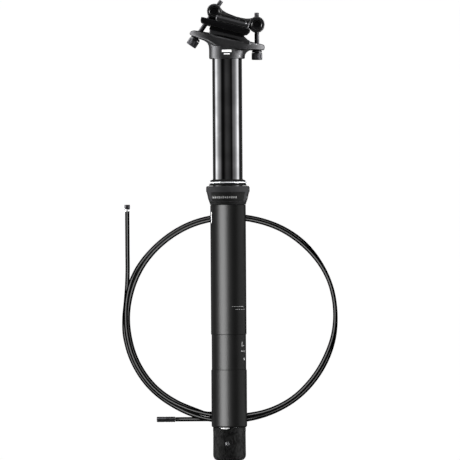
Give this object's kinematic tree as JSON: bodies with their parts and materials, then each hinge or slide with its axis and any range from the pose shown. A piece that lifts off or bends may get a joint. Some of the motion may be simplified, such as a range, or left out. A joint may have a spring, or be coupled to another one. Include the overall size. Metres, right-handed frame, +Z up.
{
  "type": "dropper seatpost",
  "caption": "Telescoping bicycle seatpost with a two-bolt saddle clamp, screwed wiper collar, remote actuator foot, and a coil of control cable housing lying behind it.",
  "frame": {"origin": "centre of the lying post's footprint, on the surface it lies on", "axes": "+Y up the post towards the saddle clamp, +X towards the front of the bicycle, +Z up from the surface the post lies on (the post's right-hand side faces up)"},
  "size_m": [0.1944, 0.4101, 0.0508],
  "materials": {
    "rubber_cap": "moulded, fine mottled grain, dull",
    "seal_rubber": "matt moulded nitrile",
    "anodised_black": "bead-blasted black anodised, satin",
    "gloss_anodised": "polished hard-anodised black, gloss",
    "satin_black": "forged and machined, satin black anodised",
    "bare_aluminium": "turned, bare",
    "black_steel": "black oxide",
    "bright_steel": "turned and polished",
    "brass": "turned",
    "nylon": "moulded",
    "foam": "oil-soaked foam",
    "cable_jacket": "extruded, gloss black",
    "ferrule_black": "black plated"
  },
  "bodies": {
    "outer_body": {"outer_tube": "anodised_black", "collar": "satin_black", "wiper_seal": "seal_rubber", "wiper_ring": "bright_steel", "foam_ring": "foam", "upper_bush": "nylon", "base_cap": "rubber_cap", "cap_screw": "bright_steel", "actuator_housing": "bare_aluminium", "lever_pivot_pin": "black_steel", "return_spring": "bright_steel", "cartridge_rod": "bright_steel", "rod_piston": "bare_aluminium", "cable_coil": "cable_jacket", "cable_hidden_loop": "cable_jacket", "cable_upper_tail": "cable_jacket", "cable_lower_tail": "cable_jacket", "upper_ferrule": "ferrule_black", "upper_ferrule_ring": "bright_steel", "lower_ferrule": "ferrule_black"},
    "stanchion_body": {"stanchion": "gloss_anodised", "head": "satin_black", "key_1": "brass", "key_2": "brass", "key_3": "brass", "lower_bush": "nylon", "cartridge_body": "bare_aluminium", "rod_gland": "nylon", "cartridge_top_nut": "bare_aluminium", "front_bolt_washer": "black_steel", "rear_bolt_washer": "black_steel"},
    "saddle_clamp": {"cradle": "satin_black", "upper_clamp": "satin_black", "front_barrel_nut": "black_steel", "rear_barrel_nut": "black_steel"},
    "front_bolt": {"front_bolt": "black_steel"},
    "rear_bolt": {"rear_bolt": "black_steel"},
    "actuator_lever": {"actuator_lever": "bright_steel", "cable_anchor": "brass"},
    "valve_pin": {"valve_pin": "bright_steel"}
  },
  "joints": [
    {"name": "post_drop", "type": "slide", "parent": "outer_body", "child": "stanchion_body", "axis": [0, -1, 0], "range_m": [0, 0.1]},
    {"name": "saddle_tilt", "type": "hinge", "parent": "stanchion_body", "child": "saddle_clamp", "pos_m": [0, 0.18535, 0.0254], "axis": [0, 0, 1], "range_deg": [-5, 5]},
    {"name": "front_bolt_turn", "type": "hinge", "parent": "stanchion_body", "child": "front_bolt", "pos_m": [0.02664, 0.18277, 0.0254], "axis": [0, 1, 0], "continuous": true},
    {"name": "rear_bolt_turn", "type": "hinge", "parent": "stanchion_body", "child": "rear_bolt", "pos_m": [-0.01112, 0.19485, 0.0254], "axis": [0.5678, 0.8231, 0], "continuous": true},
    {"name": "lever_turn", "type": "hinge", "parent": "outer_body", "child": "actuator_lever", "pos_m": [0.008, -0.19195, 0.0254], "axis": [0, 0, -1], "range_deg": [0, 10]},
    {"name": "valve_push", "type": "slide", "parent": "outer_body", "child": "valve_pin", "axis": [0, 1, 0], "range_m": [0, 0.0015], "deforming": ["return_spring"]}
  ],
  "couplings": [
    {"joint": "valve_push", "follows": "lever_turn", "m_per_rad": 0.008}
  ]
}
